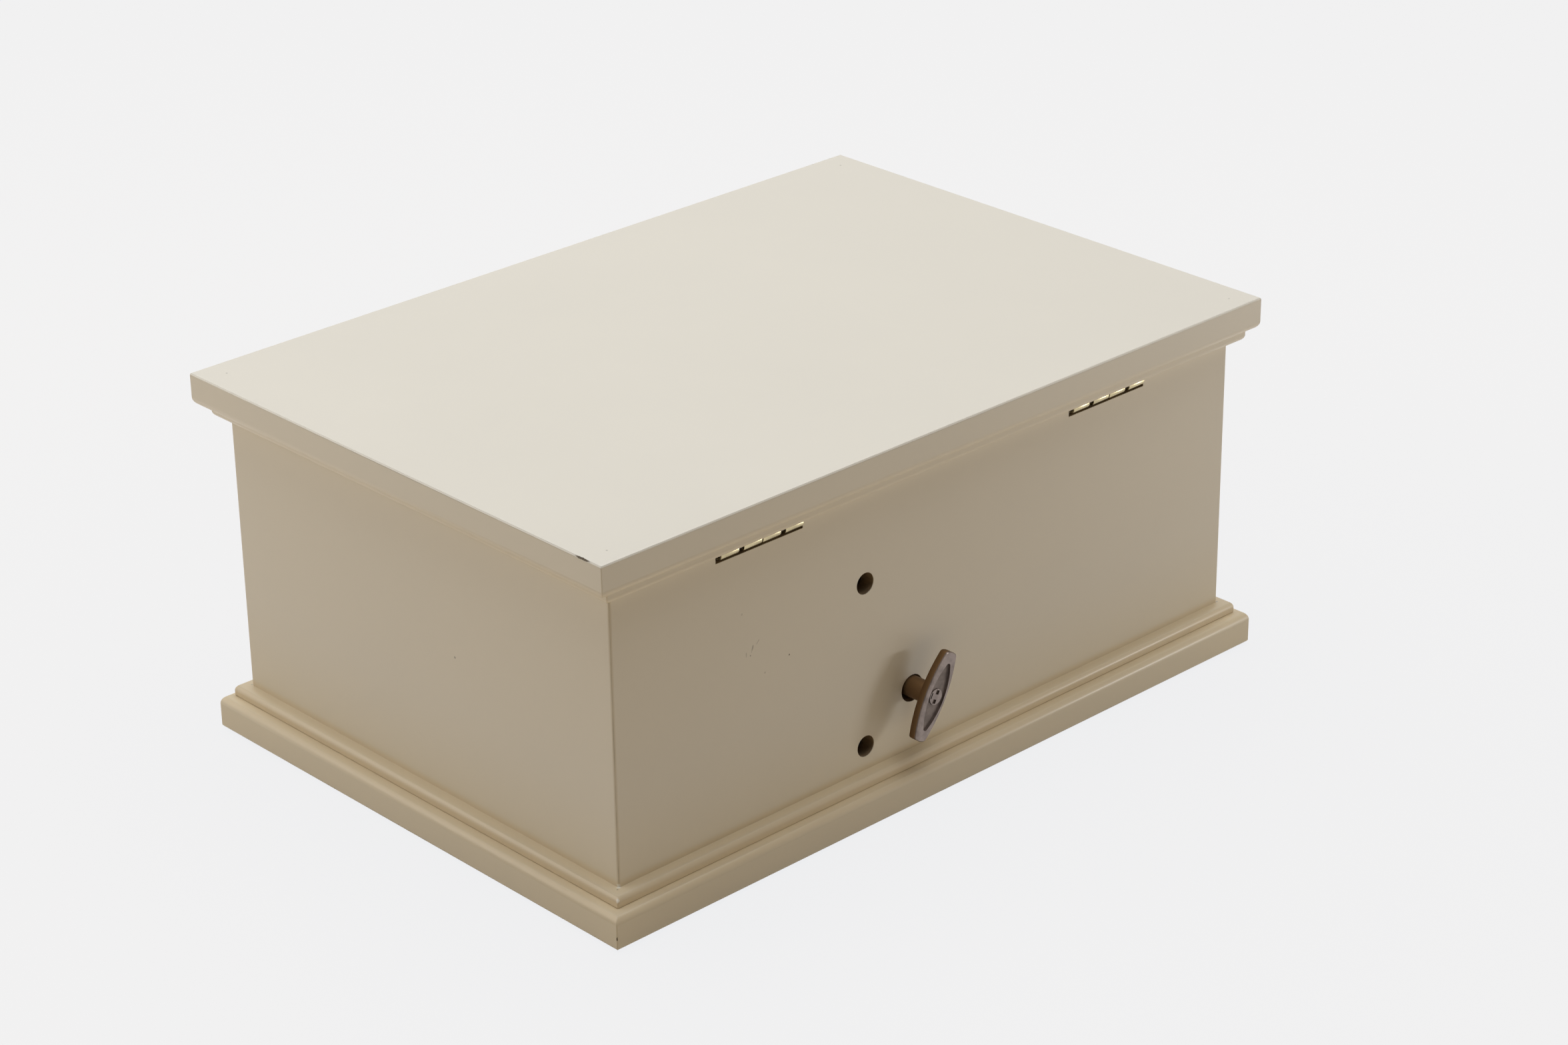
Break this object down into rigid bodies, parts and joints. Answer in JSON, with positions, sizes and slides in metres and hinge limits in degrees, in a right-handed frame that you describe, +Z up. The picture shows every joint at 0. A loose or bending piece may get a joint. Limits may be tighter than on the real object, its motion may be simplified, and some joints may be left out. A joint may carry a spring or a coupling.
{
  "type": "musical jewelry box",
  "caption": "Painted wooden jewelry box with a hinged lid, a stepped base, a lift-out tray and a musical movement wound by a key through the back wall.",
  "frame": {"origin": "on the underside, at the middle of the carcass", "axes": "+X along the width towards the right side seen from the front, +Y towards the hinged back, +Z up"},
  "size_m": [0.2496, 0.1759, 0.1104],
  "materials": {
    "painted_wood": "satin ivory paint",
    "plain_wood": "bare",
    "velvet": "short pile",
    "felt": "matt",
    "mirror_glass": "silvered",
    "clear_window": "clear",
    "brass": "satin",
    "steel": "ground",
    "dark_steel": "blackened",
    "key_steel": "worn plate",
    "cast_zinc": "as cast"
  },
  "bodies": {
    "box": {"arbor_bush": "brass", "back_wall": "painted_wood", "base_board": "painted_wood", "base_felt": "felt", "base_step": "painted_wood", "bedplate": "cast_zinc", "comb": "steel", "comb_screws": "dark_steel", "cylinder_bracket": "brass", "deck": "velvet", "deck_battens": "plain_wood", "floor_pad": "velvet", "frame_screws": "dark_steel", "front_lining": "velvet", "front_wall": "painted_wood", "governor_frame": "brass", "hinge_body_leaf_left": "brass", "hinge_body_leaf_right": "brass", "hinge_pins": "dark_steel", "hinge_screws_body": "brass", "left_lining": "velvet", "left_wall": "painted_wood", "lever_screw": "dark_steel", "movement_screws": "dark_steel", "movement_window": "clear_window", "partition": "velvet", "partition_lining": "velvet", "right_lining": "velvet", "right_wall": "painted_wood", "ring_roll_1": "velvet", "ring_roll_2": "velvet", "ring_roll_3": "velvet", "ring_roll_4": "velvet", "ring_roll_5": "velvet", "ring_roll_6": "velvet", "tray": "velvet", "tray_dividers": "velvet", "tray_pad_front": "velvet", "tray_pad_middle": "velvet", "tray_pad_right": "velvet", "worm_bridge": "brass"},
    "lid": {"lid_board": "painted_wood", "lid_step": "painted_wood", "lid_mirror": "mirror_glass", "hinge_lid_leaf_left": "brass", "hinge_lid_leaf_right": "brass", "hinge_screws_lid": "brass"},
    "winding_key": {"winding_arbor": "steel", "key_stem": "key_steel", "key_bow": "key_steel"},
    "spring_drum": {"spring_drum": "brass", "drive_wheel": "brass"},
    "cylinder": {"pinned_cylinder": "brass", "cylinder_pinion": "brass", "cylinder_wheel": "brass"},
    "governor_wheel": {"governor_wheel": "brass"},
    "governor_fan": {"governor_worm": "steel"},
    "stop_lever": {"stop_lever": "steel"}
  },
  "joints": [
    {"name": "lid_hinge", "type": "hinge", "parent": "box", "child": "lid", "pos_m": [0, 0.07885, 0.09605], "axis": [-1, 0, 0], "range_deg": [0, 100]},
    {"name": "stop_lever_swing", "type": "hinge", "parent": "box", "child": "stop_lever", "pos_m": [0.002, 0.0643, 0.0832], "axis": [0, 1, 0], "range_deg": [0, 10]},
    {"name": "key_turn", "type": "hinge", "parent": "box", "child": "winding_key", "pos_m": [0.0104, 0, 0.033], "axis": [0, 1, 0], "continuous": true},
    {"name": "cylinder_spin", "type": "hinge", "parent": "box", "child": "cylinder", "pos_m": [0.0104, 0.05645, 0], "axis": [0, 0, 1], "continuous": true},
    {"name": "drum_spin", "type": "hinge", "parent": "box", "child": "spring_drum", "pos_m": [0.0104, 0, 0.033], "axis": [0, 1, 0], "continuous": true},
    {"name": "governor_wheel_spin", "type": "hinge", "parent": "box", "child": "governor_wheel", "pos_m": [0.0008, 0.05645, 0], "axis": [0, 0, 1], "continuous": true},
    {"name": "governor_fan_spin", "type": "hinge", "parent": "box", "child": "governor_fan", "pos_m": [-0.0068, 0, 0.0744], "axis": [0, 1, 0], "continuous": true}
  ],
  "couplings": [
    {"joint": "stop_lever_swing", "follows": "lid_hinge", "ratio": 0.1},
    {"joint": "drum_spin", "follows": "cylinder_spin", "ratio": -0.33333},
    {"joint": "governor_wheel_spin", "follows": "cylinder_spin", "ratio": -3},
    {"joint": "governor_fan_spin", "follows": "cylinder_spin", "ratio": -30}
  ]
}
